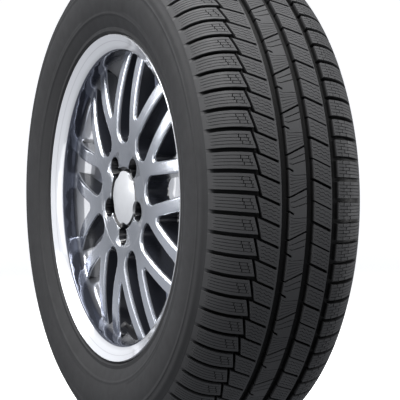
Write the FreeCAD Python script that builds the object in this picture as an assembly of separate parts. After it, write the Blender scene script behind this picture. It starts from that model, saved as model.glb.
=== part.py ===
"""A winter tyre fitted on an alloy wheel with nine Y spokes.

The tyre is its casing and the tread bonded to it, and the wheel is its barrel and its spoke centre.
Each pair meets face to face.

Millimetres. The origin is the wheel's centre, the axle is the Y axis, -Y is the outboard face and +Z is up.
Angles about the axle run from +X towards +Z. A section point is (radius from the axle, y).
"""
import FreeCAD
import Part

import math
import os

from FreeCAD import Vector

# Tyre, size class 235/60 R17
TYRE_RADIUS = 357.0
SECTION_WIDTH = 245.0
CROWN_ARC = 1000.0
SHOULDER_ARC = 60.0
SHOULDER_ANGLE = 58.0
SIDEWALL_ARC = 63.0
SIDEWALL_WALL = 9.0
CROWN_WALL = 20.0
TOE_CLEARANCE = 1.0
BEAD_RISE = 4.5
BEAD_FIT = 0.2
HEEL_CHAMFER = 5.0
RIM_RIB_WIDTH = 5.0
RIM_RIB_RISE = 1.6

# Tread: one pitch is a shoulder block and what lies beside it, and two pitches make the repeat
PITCHES = 80
TREAD_DEPTH = 8.5
UNDER_TREAD = 2.0
BOND_TURN = 38.0
GROOVE_LOW_SIDE = 0.75
GROOVE_TWO = (-21.0, -15.5, -9.0)
GROOVE_THREE = (15.75, 21.5, 27.75)
GROOVE_FOUR = (54.5, 58.0, 65.25)
SAW_GROOVE_WIDTH = 4.2
SAW_GROOVE = ((-58.0, 6.5), (-50.5, -21.5))
OUTER_SHOULDER_SLOT_WIDTH = 5.6
OUTER_SHOULDER_SLOT_END = (-54.5, 6.6)
OUTER_RIB_SLOT_WIDTH = 4.0
OUTER_RIB_SLOT = ((-54.5, 3.4), (-23.0, -10.0))
CENTRE_SLOT_WIDTH = 3.0
CENTRE_SLOT = ((-11.0, -1.6), (17.5, 11.4))
CENTRE_NOTCH = ((-11.0, -18.5), (-3.5, -24.0))
INNER_RIB_THIN_WIDTH = 2.2
INNER_RIB_SLOT_WIDTH = 4.2
INNER_RIB_SLOT = ((25.0, -5.0), (54.0, -18.3))
INNER_SHOULDER_SLOT_WIDTH = 5.6
INNER_SHOULDER_SLOT_END = (62.0, -5.4)
SHOULDER_SLOT_TURN = 40.0
SHOULDER_SLOT_RUNOUT = 57.0

# Rim, 7.5 J x 17
SEAT_RADIUS = 218.3
SEAT_TAPER = 5.0
SEAT_WIDTH = 21.0
RIM_WIDTH = 190.5
FLANGE_HEIGHT = 17.5
FLANGE_REACH = 14.0
FLANGE_CURL = 9.0
FLANGE_EDGE = 1.2
HUMP_RISE = 1.0
HUMP_WIDTH = 9.0
BARREL_WALL = 5.5
WELL_DEPTH = 22.0
WELL_START = -50.0
WELL_END = -16.0
LEDGE_DEPTH = 8.5
WELL_RAMP = 18.0
LIP_RADIUS = 215.0
LIP_Y = -98.0
LIP_DROP = 3.0

# Spokes and hub
SPOKES = 9
FIRST_SLOT_ANGLE = 5.8
HUB_FACE_Y = -89.0
HUB_FACE_RADIUS = 73.0
FACE_START_RADIUS = 76.0
FACE_TOP_RADIUS = 108.0
FACE_TOP_Y = -91.5
FACE_ARC = 350.0
MOUNT_FACE_Y = -50.0
PAD_RADIUS = 74.0
SPOKE_BACK_HUB_Y = -55.0
SPOKE_BACK_TIP_Y = -62.0
SPOKE_FOOT = 3.0
PAD_SLOPE = 10.0
SLOT_INNER_RADIUS = 80.0
SLOT_HUB_WIDTH = 41.0
SLOT_RIM_WIDTH = 28.0
FORK_RADIUS = 113.0
FORK_ROUND = 6.0
FORK_RIM_WIDTH = 87.0
WALL_DRAFT = 5.0
EDGE_BREAK = 3.5
BORE_RADIUS = 31.7
BORE_CHAMFER = 1.0
BORE_LENGTH = 16.0
CAP_BORE_RADIUS = 34.5
CAP_RECESS_RADIUS = 45.5
CAP_RECESS_DEPTH = 4.0
LUG_COUNT = 5
LUG_CIRCLE_RADIUS = 54.0
LUG_FIRST_ANGLE = 50.8
LUG_POCKET_RADIUS = 14.5
LUG_HOLE_RADIUS = 7.5
LUG_SEAT_Y = -64.0
LUG_SEAT_DEPTH = 5.0
LUG_SEAT_ANGLE = 30.0
PAD_POCKET_RADIUS = 11.0
PAD_POCKET_DEPTH = 14.0
STEM_POCKET_WIDTH = 16.0
STEM_POCKET_DEPTH = 12.0
FRONT_TOLERANCE = 0.01
FRONT_MARGIN = 1.0

# Centre cap
CAP_RADIUS = 39.0
CAP_EDGE = 3.0
CAP_DOME = 5.0
CAP_WALL = 2.5
CAP_SCALLOP_RADIUS = 18.5
CAP_FIT = 0.3
CLIP_LENGTH = 14.0
CLIP_WALL = 2.0
CLIP_GAP_WIDTH = 16.0

# Tyre valve
VALVE_FORK = 6
VALVE_HOLE_RADIUS = 5.75
VALVE_FIT = 0.1
VALVE_BULB_RADIUS = 7.8
VALVE_BULB_LENGTH = 7.0
VALVE_FLARE = 2.0
VALVE_COLLAR_RADIUS = 7.4
VALVE_COLLAR_LENGTH = 3.0
VALVE_BODY_LENGTH = 20.0
VALVE_BODY_TIP_RADIUS = 4.9
VALVE_TUBE_RADIUS = 3.85
VALVE_TUBE_BORE = 2.6
VALVE_TUBE_LENGTH = 44.0
VALVE_TUBE_OUT = 9.0
VALVE_CORE_LENGTH = 20.0
VALVE_PIN_RADIUS = 0.8
VALVE_PIN_LENGTH = 3.0
VALVE_CAP_WALL = 1.3
VALVE_CAP_FLUTES = 12
VALVE_CAP_FLUTE = 0.7

# How far a cutter runs past the material
OVERRUN = 1.0

# Values that follow from the above
AXLE = Vector(0, 1, 0)
CENTRE = Vector(0, 0, 0)
HALF_SECTION = SECTION_WIDTH / 2
HALF_RIM = RIM_WIDTH / 2
FLANGE_RADIUS = SEAT_RADIUS + FLANGE_HEIGHT
FLANGE_Y = HALF_RIM + FLANGE_REACH
PITCH_ANGLE = 360.0 / PITCHES
GROOVE_RADIUS = TYRE_RADIUS - TREAD_DEPTH
CLEAR_RADIUS = TYRE_RADIUS + TREAD_DEPTH
BOND_DEPTH = TREAD_DEPTH + UNDER_TREAD
FORK_ANGLE = 360.0 / SPOKES
SPOKE_END_RADIUS = SEAT_RADIUS - BARREL_WALL / 2
WINDOW_END_RADIUS = SEAT_RADIUS


def point(radius, y):
    """A section point as a vector in the +X half plane."""
    return Vector(radius, y, 0)


def polar(centre, radius, angle, side=1):
    """The point of a section arc at an angle from the radial direction, on the +Y or -Y side."""
    return point(centre[0] + radius * math.cos(angle), side * (centre[1] + radius * math.sin(angle)))


def arc(a, middle, b):
    return Part.Arc(a, middle, b).toShape()


def chain(points):
    """Straight edges through section points."""
    return [Part.makeLine(a, b) for a, b in zip(points, points[1:])]


def turned(edges):
    """The solid that a closed section makes about the axle."""
    face = Part.Face(Part.Wire(Part.__sortEdges__(edges)))
    return face.revolve(CENTRE, AXLE, 360)


def lathe(points):
    """A turned solid of straight section edges, given as (radius, y) pairs."""
    outline = [point(*p) for p in points]
    return turned(chain(outline + outline[:1]))


def about_axle(shape, angle):
    """A copy turned about the axle from +X towards +Z."""
    copy = shape.copy()
    copy.rotate(CENTRE, -AXLE, angle)
    return copy


def around(shape, count, first=0.0):
    """Evenly spaced copies about the axle."""
    return [about_axle(shape, first + 360.0 * i / count) for i in range(count)]


# Tyre section: crown, shoulder and upper sidewall are tangent arcs
TURN_TO_SIDE = math.radians(SHOULDER_ANGLE)
SHOULDER_SPAN = SHOULDER_ARC * math.sin(TURN_TO_SIDE) + SIDEWALL_ARC * (1 - math.sin(TURN_TO_SIDE))
TURN_AT_CROWN = math.asin((HALF_SECTION - SHOULDER_SPAN) / (CROWN_ARC - SHOULDER_ARC))
CROWN_CENTRE = (TYRE_RADIUS - CROWN_ARC, 0.0)
SHOULDER_CENTRE = (
    CROWN_CENTRE[0] + (CROWN_ARC - SHOULDER_ARC) * math.cos(TURN_AT_CROWN),
    (CROWN_ARC - SHOULDER_ARC) * math.sin(TURN_AT_CROWN),
)
SIDEWALL_CENTRE = (
    SHOULDER_CENTRE[0] + (SHOULDER_ARC - SIDEWALL_ARC) * math.cos(TURN_TO_SIDE),
    SHOULDER_CENTRE[1] + (SHOULDER_ARC - SIDEWALL_ARC) * math.sin(TURN_TO_SIDE),
)


def crown_radius(y):
    """Radius of the unworn tread surface between the shoulders."""
    return CROWN_CENTRE[0] + math.sqrt(CROWN_ARC**2 - y * y)


def tangent_arc(start, end, side):
    """An arc that leaves start along the radius and ends at end, nearer the axle and the middle plane."""
    fall = start.x - end.x
    inset = abs(start.y) - abs(end.y)
    radius = (fall**2 + inset**2) / (2 * inset)
    half_turn = math.asin(fall / radius) / 2
    middle = point(
        start.x - radius * math.sin(half_turn),
        side * (abs(start.y) - radius * (1 - math.cos(half_turn))),
    )
    return arc(start, middle, end)


def shoulder(side):
    """The tread's outer section arc over one shoulder, from the crown's edge to the sidewall."""
    crown_edge = polar(SHOULDER_CENTRE, SHOULDER_ARC, TURN_AT_CROWN, side)
    middle = polar(SHOULDER_CENTRE, SHOULDER_ARC, (TURN_AT_CROWN + TURN_TO_SIDE) / 2, side)
    shoulder_end = polar(SHOULDER_CENTRE, SHOULDER_ARC, TURN_TO_SIDE, side)
    return arc(crown_edge, middle, shoulder_end), crown_edge, shoulder_end


def bond_line():
    """Section edges where the tread lies on the casing: a crown arc, and an arc and a line on each side."""
    bond_arc = SHOULDER_ARC - BOND_DEPTH
    turn = math.radians(BOND_TURN)
    edges = []
    crown_ends = []
    for side in (-1, 1):
        crown_end = polar(SHOULDER_CENTRE, bond_arc, TURN_AT_CROWN, side)
        middle = polar(SHOULDER_CENTRE, bond_arc, (TURN_AT_CROWN + turn) / 2, side)
        bend = polar(SHOULDER_CENTRE, bond_arc, turn, side)
        edges.append(arc(crown_end, middle, bend))
        edges.append(Part.makeLine(bend, shoulder(side)[2]))
        crown_ends.append(crown_end)
    edges.append(arc(crown_ends[0], point(TYRE_RADIUS - BOND_DEPTH, 0), crown_ends[1]))
    return edges


def tyre_side(side):
    """Outer section edges from the tread's edge to the bead toe, and the toe."""
    shoulder_end = shoulder(side)[2]
    side_middle = polar(SIDEWALL_CENTRE, SIDEWALL_ARC, (TURN_TO_SIDE + math.pi / 2) / 2, side)
    widest = polar(SIDEWALL_CENTRE, SIDEWALL_ARC, math.pi / 2, side)
    rib_y = side * (FLANGE_Y + RIM_RIB_RISE)
    rib_top = point(FLANGE_RADIUS + BEAD_RISE + RIM_RIB_WIDTH, rib_y)
    rib_low = point(FLANGE_RADIUS + BEAD_RISE, rib_y)
    curl = (FLANGE_RADIUS - FLANGE_CURL, HALF_RIM + FLANGE_CURL)
    over_flange = polar(curl, FLANGE_CURL + BEAD_FIT, 0.0, side)
    on_curl = polar(curl, FLANGE_CURL + BEAD_FIT, -math.pi / 4, side)
    on_flange = polar(curl, FLANGE_CURL + BEAD_FIT, -math.pi / 2, side)
    heel_y = HALF_RIM - BEAD_FIT
    seat = SEAT_RADIUS + BEAD_FIT
    heel_top = point(seat + HEEL_CHAMFER, side * heel_y)
    heel_low = point(seat, side * (heel_y - HEEL_CHAMFER))
    bead_width = SEAT_WIDTH - TOE_CLEARANCE
    toe_drop = (bead_width - HEEL_CHAMFER) * math.tan(math.radians(SEAT_TAPER))
    toe = point(seat - toe_drop, side * (heel_y - bead_width))
    edges = [
        arc(shoulder_end, side_middle, widest),
        tangent_arc(widest, rib_top, side),
        arc(over_flange, on_curl, on_flange),
    ]
    edges += chain([rib_top, rib_low, over_flange])
    edges += chain([on_flange, heel_top, heel_low, toe])
    return edges, toe


def liner(toe_out, toe_in):
    """Inner section edges: bead flanks, a quarter arc up each sidewall and a level crown between them."""
    inner_radius = TYRE_RADIUS - CROWN_WALL
    liner_arc = inner_radius - SIDEWALL_CENTRE[0]
    centre = (SIDEWALL_CENTRE[0], HALF_SECTION - SIDEWALL_WALL - liner_arc)
    edges = []
    crown_ends = []
    for side, toe in ((-1, toe_out), (1, toe_in)):
        widest = polar(centre, liner_arc, math.pi / 2, side)
        crown_end = polar(centre, liner_arc, 0.0, side)
        flank = point(FLANGE_RADIUS + BEAD_RISE, side * (HALF_RIM - SIDEWALL_WALL / 2))
        edges.append(arc(widest, polar(centre, liner_arc, math.pi / 4, side), crown_end))
        edges.append(tangent_arc(widest, flank, side))
        edges.append(Part.makeLine(flank, toe))
        crown_ends.append(crown_end)
    edges.append(Part.makeLine(*crown_ends))
    return edges


def crown_edges(start, end):
    """The tread's section from edge to edge, with its three straight grooves, low on their left side."""
    points = [start]
    for top_left, floor_left, top_right in (GROOVE_TWO, GROOVE_THREE, GROOVE_FOUR):
        floor_right = top_right - GROOVE_LOW_SIDE
        points.append(point(crown_radius(top_left), top_left))
        points.append(point(crown_radius(floor_left) - TREAD_DEPTH, floor_left))
        points.append(point(crown_radius(floor_right) - TREAD_DEPTH, floor_right))
        points.append(point(crown_radius(top_right), top_right))
    points.append(end)
    return chain(points)


def slot(start, end, width):
    """A straight cutter over the tread at angle 0, between two (y, height) points, to the groove floor."""
    along = Vector(0, end[0] - start[0], end[1] - start[1]).normalize()
    across = Vector(0, -along.z, along.y) * (width / 2)
    a = Vector(GROOVE_RADIUS, *start)
    b = Vector(GROOVE_RADIUS, *end)
    outline = [a - across, b - across, b + across, a + across]
    face = Part.Face(Part.makePolygon(outline + outline[:1]))
    return face.extrude(Vector(CLEAR_RADIUS - GROOVE_RADIUS, 0, 0))


def shoulder_slot(end, width):
    """A cutter that follows a shoulder at tread depth and runs out where the sidewall starts.

    It is its own section turned about the axle by the slot's width.
    """
    y, height = end
    side = 1 if y > 0 else -1
    floor_arc = SHOULDER_ARC - TREAD_DEPTH
    turn = math.radians(SHOULDER_SLOT_TURN)
    floor_start = polar(SHOULDER_CENTRE, floor_arc, TURN_AT_CROWN, side)
    floor_middle = polar(SHOULDER_CENTRE, floor_arc, (TURN_AT_CROWN + turn) / 2, side)
    floor_end = polar(SHOULDER_CENTRE, floor_arc, turn, side)
    outside = polar(SHOULDER_CENTRE, SHOULDER_ARC + OVERRUN, math.radians(SHOULDER_SLOT_RUNOUT), side)
    inner_end = point(crown_radius(y) - TREAD_DEPTH, y)
    over = [point(CLEAR_RADIUS, outside.y), point(CLEAR_RADIUS, y)]
    edges = [arc(floor_start, floor_middle, floor_end)]
    edges += chain([floor_end, outside, *over, inner_end, floor_start])
    face = Part.Face(Part.Wire(Part.__sortEdges__(edges)))
    angle = math.degrees(width / TYRE_RADIUS)
    start = math.degrees(height / TYRE_RADIUS) - angle / 2
    return about_axle(face, start).revolve(CENTRE, -AXLE, angle)


def tread_cutters():
    """Every slot of the tread: five kinds in each pitch, and the centre rib's two in every second pitch."""
    each_pitch = [
        shoulder_slot(OUTER_SHOULDER_SLOT_END, OUTER_SHOULDER_SLOT_WIDTH),
        slot(*SAW_GROOVE, SAW_GROOVE_WIDTH),
        slot(*OUTER_RIB_SLOT, OUTER_RIB_SLOT_WIDTH),
        shoulder_slot(INNER_SHOULDER_SLOT_END, INNER_SHOULDER_SLOT_WIDTH),
    ]
    even_pitch = [
        slot(*INNER_RIB_SLOT, INNER_RIB_THIN_WIDTH),
        slot(*CENTRE_SLOT, CENTRE_SLOT_WIDTH),
        slot(*CENTRE_NOTCH, CENTRE_SLOT_WIDTH),
    ]
    odd_pitch = [slot(*INNER_RIB_SLOT, INNER_RIB_SLOT_WIDTH)]
    cutters = []
    for i in range(PITCHES):
        kinds = each_pitch + (odd_pitch if i % 2 else even_pitch)
        cutters += [about_axle(kind, -i * PITCH_ANGLE) for kind in kinds]
    return cutters


def make_casing():
    """The tyre under its tread: crown, sidewalls and beads, turned in one piece."""
    outboard, toe_out = tyre_side(-1)
    inboard, toe_in = tyre_side(1)
    return turned(outboard + bond_line() + inboard + liner(toe_out, toe_in))


def make_tread():
    """The tread from shoulder to shoulder: turned with its grooves, then its slots are cut."""
    outboard, start, _ = shoulder(-1)
    inboard, end, _ = shoulder(1)
    band = turned([outboard, *crown_edges(start, end), inboard, *bond_line()])
    return band.cut(tread_cutters()).Solids[0]


def rim_side(side):
    """Tyre-side section points and arcs of one bead seat and flange, from the flange edge to the hump."""
    curl = (FLANGE_RADIUS - FLANGE_CURL, HALF_RIM + FLANGE_CURL)
    fall = math.tan(math.radians(SEAT_TAPER))
    seat_end_radius = SEAT_RADIUS - (SEAT_WIDTH - HEEL_CHAMFER) * fall
    flange_top = polar(curl, FLANGE_CURL, 0.0, side)
    flange_foot = polar(curl, FLANGE_CURL, -math.pi / 2, side)
    hump_y = HALF_RIM - SEAT_WIDTH - HUMP_WIDTH / 2
    edges = chain(
        [
            point(FLANGE_RADIUS - FLANGE_EDGE, side * FLANGE_Y),
            point(FLANGE_RADIUS, side * (FLANGE_Y - FLANGE_EDGE)),
            flange_top,
        ]
    )
    edges.append(arc(flange_top, polar(curl, FLANGE_CURL, -math.pi / 4, side), flange_foot))
    edges += chain(
        [
            flange_foot,
            point(SEAT_RADIUS + HEEL_CHAMFER, side * HALF_RIM),
            point(SEAT_RADIUS, side * (HALF_RIM - HEEL_CHAMFER)),
            point(seat_end_radius, side * (HALF_RIM - SEAT_WIDTH)),
            point(seat_end_radius + HUMP_RISE, side * hump_y),
            point(seat_end_radius - HUMP_RISE, side * (HALF_RIM - SEAT_WIDTH - HUMP_WIDTH)),
        ]
    )
    return edges, edges[0].Vertexes[0].Point, edges[-1].Vertexes[-1].Point


def well_wall():
    """The well's outboard wall as two section lines, on the tyre's side and on the brake's side."""
    hump = rim_side(-1)[2]
    well_radius = SEAT_RADIUS - WELL_DEPTH
    outer = (hump, point(well_radius, WELL_START))
    along = (outer[1] - outer[0]).normalize()
    bend = math.acos(along.y)
    inner = (
        hump - Vector(along.y, -along.x, 0) * BARREL_WALL,
        point(well_radius - BARREL_WALL, WELL_START - BARREL_WALL * math.tan(bend / 2)),
    )
    return outer, inner


def make_barrel():
    """The rim: two flanges and bead seats, the well that lets the tyre on, and the bright outboard lip."""
    outboard, out_edge, _ = rim_side(-1)
    inboard, in_edge, in_hump = rim_side(1)
    wall_outer, wall_inner = well_wall()
    ledge_radius = SEAT_RADIUS - LEDGE_DEPTH
    ledge_end = in_hump.y - WELL_RAMP / 2
    tyre_side_points = [
        *wall_outer,
        point(wall_outer[1].x, WELL_END),
        point(ledge_radius, WELL_END + WELL_RAMP),
        point(ledge_radius, ledge_end),
        in_hump,
    ]
    brake_side_points = [
        in_edge,
        point(FLANGE_RADIUS - BARREL_WALL, FLANGE_Y),
        point(FLANGE_RADIUS - FLANGE_CURL - BARREL_WALL / 2, FLANGE_Y - BARREL_WALL),
        point(SEAT_RADIUS - BARREL_WALL, HALF_RIM - BARREL_WALL / 2),
        point(in_hump.x - BARREL_WALL, in_hump.y),
        point(ledge_radius - BARREL_WALL, ledge_end),
        point(ledge_radius - BARREL_WALL, WELL_END + WELL_RAMP + BARREL_WALL / 2),
        point(wall_inner[1].x, WELL_END + BARREL_WALL / 2),
        wall_inner[1],
        wall_inner[0],
        point(LIP_RADIUS - LIP_DROP, LIP_Y + LIP_DROP),
        point(LIP_RADIUS, LIP_Y),
        out_edge,
    ]
    return turned(outboard + chain(tyre_side_points) + inboard + chain(brake_side_points))


def spoke_front(radius):
    """Height of the spokes' front: an arc that stands out near the hub and falls back to the barrel."""
    return FACE_TOP_Y + FACE_ARC - math.sqrt(FACE_ARC**2 - (radius - FACE_TOP_RADIUS) ** 2)


def spoke_blank():
    """The turned disc that the spokes and the hub are cut from, with its seam in a slot.

    Its edge is sunk in the barrel's wall.
    """
    front = [
        point(radius, spoke_front(radius))
        for radius in (FACE_START_RADIUS, (FACE_START_RADIUS + SPOKE_END_RADIUS) / 2, SPOKE_END_RADIUS)
    ]
    back = [
        point(SPOKE_END_RADIUS, SPOKE_BACK_TIP_Y - SPOKE_FOOT),
        point(SPOKE_END_RADIUS - SPOKE_FOOT, SPOKE_BACK_TIP_Y),
        point(PAD_RADIUS + PAD_SLOPE, SPOKE_BACK_HUB_Y),
        point(PAD_RADIUS, MOUNT_FACE_Y),
        point(0, MOUNT_FACE_Y),
        point(0, HUB_FACE_Y),
        point(HUB_FACE_RADIUS, HUB_FACE_Y),
    ]
    return about_axle(turned([arc(*front)] + chain([front[-1], *back, front[0]])), FIRST_SLOT_ANGLE)


def flat(radius, y, across):
    """A point of a spoke outline that lies across the axle at height y."""
    return Vector(radius, y, across)


def window(y, nose_centre, nose_radius, tangent, rim_half_width):
    """A closed outline at height y: a round nose towards the hub and two straight sides past the rim.

    tangent is the nose's turn from square to the radius, at which its sides leave it.
    """
    lean_in = nose_radius * math.sin(tangent)
    half = nose_radius * math.cos(tangent)
    low = flat(nose_centre - lean_in, y, -half)
    high = flat(nose_centre - lean_in, y, half)
    nose = Part.Arc(low, flat(nose_centre - nose_radius, y, 0), high).toShape()
    rim_low = flat(WINDOW_END_RADIUS, y, -rim_half_width)
    rim_high = flat(WINDOW_END_RADIUS, y, rim_half_width)
    return Part.Wire([nose] + chain([high, rim_high, rim_low, low]))


def slot_window(y, inset):
    """The slot between two Y spokes, drawn in by the casting draft; its sides are tangent to its nose."""
    nose_centre = SLOT_INNER_RADIUS + SLOT_HUB_WIDTH / 2
    nose_radius = SLOT_HUB_WIDTH / 2 - inset
    reach = WINDOW_END_RADIUS - nose_centre
    rim_half = SLOT_RIM_WIDTH / 2 - inset
    lean = math.acos(nose_radius / math.hypot(reach, rim_half)) - math.atan2(reach, rim_half)
    return window(y, nose_centre, nose_radius, lean, rim_half)


def fork_window(y, inset):
    """The V between the two arms of a spoke, drawn in by the casting draft."""
    lean = math.atan2(FORK_RIM_WIDTH / 2, WINDOW_END_RADIUS - FORK_RADIUS)
    nose_centre = FORK_RADIUS + FORK_ROUND / math.sin(lean)
    return window(y, nose_centre, FORK_ROUND - inset, lean, FORK_RIM_WIDTH / 2 - inset / math.cos(lean))


def window_cutter(outline):
    """The drafted cutter for a window: it is widest at the spokes' front."""
    front_y = FACE_TOP_Y - SPOKE_FOOT
    back_y = MOUNT_FACE_Y
    draft = math.tan(math.radians(WALL_DRAFT))
    ends = [outline(y, (y - HUB_FACE_Y) * draft) for y in (front_y, back_y)]
    return Part.makeLoft(ends, True, True)


def on_spoke_front(edge):
    """True for the edges where windows meet the spokes' front."""
    for share in (0.2, 0.5, 0.8):
        at = edge.valueAt(edge.FirstParameter + share * (edge.LastParameter - edge.FirstParameter))
        radius = math.hypot(at.x, at.z)
        if not FACE_START_RADIUS + FRONT_MARGIN < radius < SPOKE_END_RADIUS - FRONT_MARGIN:
            return False
        if abs(at.y - spoke_front(radius)) > FRONT_TOLERANCE:
            return False
    return True


def lug_cutters():
    """A round pocket, a conical seat and a through hole for each wheel bolt."""
    seat_end = LUG_SEAT_Y + LUG_SEAT_DEPTH
    outline = [
        (0, HUB_FACE_Y - OVERRUN),
        (LUG_POCKET_RADIUS, HUB_FACE_Y - OVERRUN),
        (LUG_POCKET_RADIUS, LUG_SEAT_Y),
        (LUG_HOLE_RADIUS + LUG_SEAT_DEPTH * math.tan(math.radians(LUG_SEAT_ANGLE)), LUG_SEAT_Y),
        (LUG_HOLE_RADIUS, seat_end),
        (LUG_HOLE_RADIUS, MOUNT_FACE_Y + OVERRUN),
        (0, MOUNT_FACE_Y + OVERRUN),
    ]
    cutter = lathe(outline)
    cutter.translate(Vector(LUG_CIRCLE_RADIUS, 0, 0))
    return around(cutter, LUG_COUNT, LUG_FIRST_ANGLE)


def back_pockets():
    """Casting pockets on the hidden side: round ones between the bolts and one in each spoke's stem."""
    round_pocket = Part.makeCylinder(
        PAD_POCKET_RADIUS,
        PAD_POCKET_DEPTH + OVERRUN,
        Vector(LUG_CIRCLE_RADIUS, MOUNT_FACE_Y - PAD_POCKET_DEPTH, 0),
        AXLE,
    )
    pockets = around(round_pocket, LUG_COUNT, LUG_FIRST_ANGLE + 180.0 / LUG_COUNT)
    stem_radius = (SLOT_INNER_RADIUS + FORK_RADIUS) / 2
    stem_pocket = Part.makeCylinder(
        STEM_POCKET_WIDTH / 2,
        STEM_POCKET_DEPTH + PAD_SLOPE,
        Vector(stem_radius, SPOKE_BACK_HUB_Y - STEM_POCKET_DEPTH, 0),
        AXLE,
    )
    return pockets + around(stem_pocket, SPOKES, FIRST_SLOT_ANGLE + FORK_ANGLE / 2)


def hub_cutter():
    """The stepped hole through the hub: cap recess, cap bore, and the bore that centres the wheel."""
    bore_front = MOUNT_FACE_Y - BORE_LENGTH
    return lathe(
        [
            (0, HUB_FACE_Y - OVERRUN),
            (CAP_RECESS_RADIUS, HUB_FACE_Y - OVERRUN),
            (CAP_RECESS_RADIUS, HUB_FACE_Y + CAP_RECESS_DEPTH),
            (CAP_BORE_RADIUS, HUB_FACE_Y + CAP_RECESS_DEPTH),
            (CAP_BORE_RADIUS, bore_front),
            (BORE_RADIUS, bore_front),
            (BORE_RADIUS, MOUNT_FACE_Y - BORE_CHAMFER),
            (BORE_RADIUS + BORE_CHAMFER, MOUNT_FACE_Y),
            (BORE_RADIUS + BORE_CHAMFER, MOUNT_FACE_Y + OVERRUN),
            (0, MOUNT_FACE_Y + OVERRUN),
        ]
    )


def make_wheel():
    """The barrel with its valve hole, and the Y spokes and hub, whose tips are fitted to the barrel."""
    windows = around(window_cutter(slot_window), SPOKES, FIRST_SLOT_ANGLE)
    windows += around(window_cutter(fork_window), SPOKES, FIRST_SLOT_ANGLE + FORK_ANGLE / 2)
    disc = spoke_blank().cut(windows).Solids[0]
    disc = disc.makeFillet(EDGE_BREAK, [edge for edge in disc.Edges if on_spoke_front(edge)])
    disc = disc.cut([hub_cutter()] + lug_cutters() + back_pockets())
    barrel = make_barrel()
    valve_hole = on_valve_axis(
        Part.makeCylinder(VALVE_HOLE_RADIUS, 4 * BARREL_WALL, Vector(0, 0, -2 * BARREL_WALL))
    )
    return {"wheel_barrel": barrel.cut(valve_hole).Solids[0], "wheel_spokes": disc.cut(barrel).Solids[0]}


def valve_frame():
    """Where the valve's axis crosses the middle of the well's wall, and its direction, out of the tyre."""
    outer, inner = well_wall()
    middle = (outer[0] + outer[1] + inner[0] + inner[1]) * 0.25
    along = (outer[1] - outer[0]).normalize()
    return middle, Vector(along.y, -along.x, 0) * -1


def on_valve_axis(shape):
    """A shape made about the Z axis, with Z out of the tyre, put on the valve's axis."""
    middle, direction = valve_frame()
    turn = FreeCAD.Rotation(Vector(0, 0, 1), direction)
    placed = shape.copy()
    placed.Placement = FreeCAD.Placement(middle, turn)
    return about_axle(placed, FIRST_SLOT_ANGLE + FORK_ANGLE / 2 + VALVE_FORK * FORK_ANGLE)


def make_centre_cap():
    """A domed cap in the hub's recess, scalloped round the bolts, with sprung clips in the cap bore."""
    floor_y = HUB_FACE_Y + CAP_RECESS_DEPTH
    edge_y = floor_y - CAP_EDGE
    top_y = edge_y - CAP_DOME
    skirt = CAP_BORE_RADIUS - CAP_FIT
    dome_radius = (CAP_RADIUS**2 + CAP_DOME**2) / (2 * CAP_DOME)
    half_turn = math.asin(CAP_RADIUS / dome_radius) / 2
    dome_middle = point(
        dome_radius * math.sin(half_turn),
        top_y + dome_radius * (1 - math.cos(half_turn)),
    )
    dome = arc(point(0, top_y), dome_middle, point(CAP_RADIUS, edge_y))
    outline = [
        point(CAP_RADIUS, edge_y),
        point(CAP_RADIUS, floor_y),
        point(skirt, floor_y),
        point(skirt, floor_y + CLIP_LENGTH),
        point(skirt - CLIP_WALL, floor_y + CLIP_LENGTH),
        point(skirt - CLIP_WALL, edge_y + CAP_WALL - CAP_DOME / 2),
        point(0, top_y + CAP_WALL),
        point(0, top_y),
    ]
    blank = turned([dome] + chain(outline))
    scallop = Part.makeCylinder(
        CAP_SCALLOP_RADIUS, floor_y - top_y, Vector(LUG_CIRCLE_RADIUS, top_y, 0), AXLE
    )
    clip_gap = Part.makeBox(CAP_BORE_RADIUS, CLIP_LENGTH, CLIP_GAP_WIDTH)
    clip_gap.translate(Vector(0, floor_y, -CLIP_GAP_WIDTH / 2))
    cutters = around(scallop, LUG_COUNT, LUG_FIRST_ANGLE)
    cutters += around(clip_gap, LUG_COUNT, LUG_FIRST_ANGLE)
    return blank.cut(cutters).Solids[0]


def on_own_axis(points):
    """A solid turned about the Z axis from (radius, z) pairs."""
    outline = [Vector(radius, 0, z) for radius, z in points]
    face = Part.Face(Part.makePolygon(outline + outline[:1]))
    return face.revolve(CENTRE, Vector(0, 0, 1), 360)


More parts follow.
